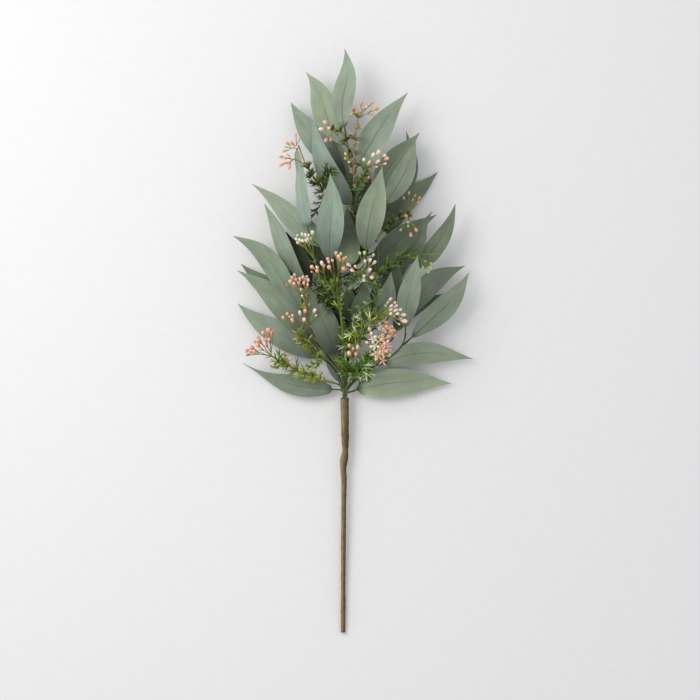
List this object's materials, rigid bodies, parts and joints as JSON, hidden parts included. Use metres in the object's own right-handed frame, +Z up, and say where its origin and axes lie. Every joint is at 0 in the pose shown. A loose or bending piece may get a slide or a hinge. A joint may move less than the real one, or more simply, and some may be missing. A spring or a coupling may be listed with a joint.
{
  "type": "blade eucalyptus stem",
  "caption": "Long cut blade eucalyptus spray lying flat: paper-wrapped stem, sage green blade leaves, sprigs of peach, pink and cream buds.",
  "frame": {"origin": "centre of the spray's box, on the surface that it lies on", "axes": "+X across the spray, to the right as the picture shows it; +Y along it, from the cut end of the stem toward the leaf tips; +Z up from the surface"},
  "size_m": [0.2665, 0.6506, 0.1015],
  "materials": {
    "wrap": "matt brown wrinkled paper tape",
    "twig": "dull dark green and brown moulded twigs",
    "blade": "matt sage green cloth with pressed veins",
    "sprig": "satin moulded stalks, needle leaves and buds"
  },
  "bodies": {
    "root": {"stem": "wrap", "branches": "twig", "leaf_01": "blade", "leaf_02": "blade", "leaf_03": "blade", "leaf_04": "blade", "leaf_05": "blade", "leaf_06": "blade", "leaf_07": "blade", "leaf_08": "blade", "leaf_09": "blade", "leaf_10": "blade", "leaf_11": "blade", "leaf_12": "blade", "leaf_13": "blade", "leaf_14": "blade", "leaf_15": "blade", "leaf_16": "blade", "leaf_17": "blade", "leaf_18": "blade", "leaf_19": "blade", "leaf_20": "blade", "leaf_21": "blade", "leaf_22": "blade", "leaf_23": "blade", "leaf_24": "blade", "leaf_25": "blade", "leaf_26": "blade", "leaf_27": "blade", "leaf_28": "blade", "leaf_29": "blade", "leaf_30": "blade", "leaf_31": "blade", "leaf_32": "blade", "leaf_33": "blade", "leaf_34": "blade", "leaf_35": "blade", "leaf_36": "blade", "leaf_37": "blade", "leaf_38": "blade", "leaf_39": "blade", "leaf_40": "blade", "leaf_41": "blade", "leaf_42": "blade", "leaf_43": "blade", "sprig_01": "sprig", "sprig_02": "sprig", "sprig_03": "sprig", "sprig_04": "sprig", "sprig_05": "sprig", "sprig_06": "sprig", "sprig_07": "sprig", "sprig_08": "sprig", "sprig_09": "sprig", "sprig_10": "sprig", "sprig_11": "sprig", "sprig_12": "sprig", "sprig_13": "sprig", "sprig_14": "sprig"}
  },
  "joints": []
}
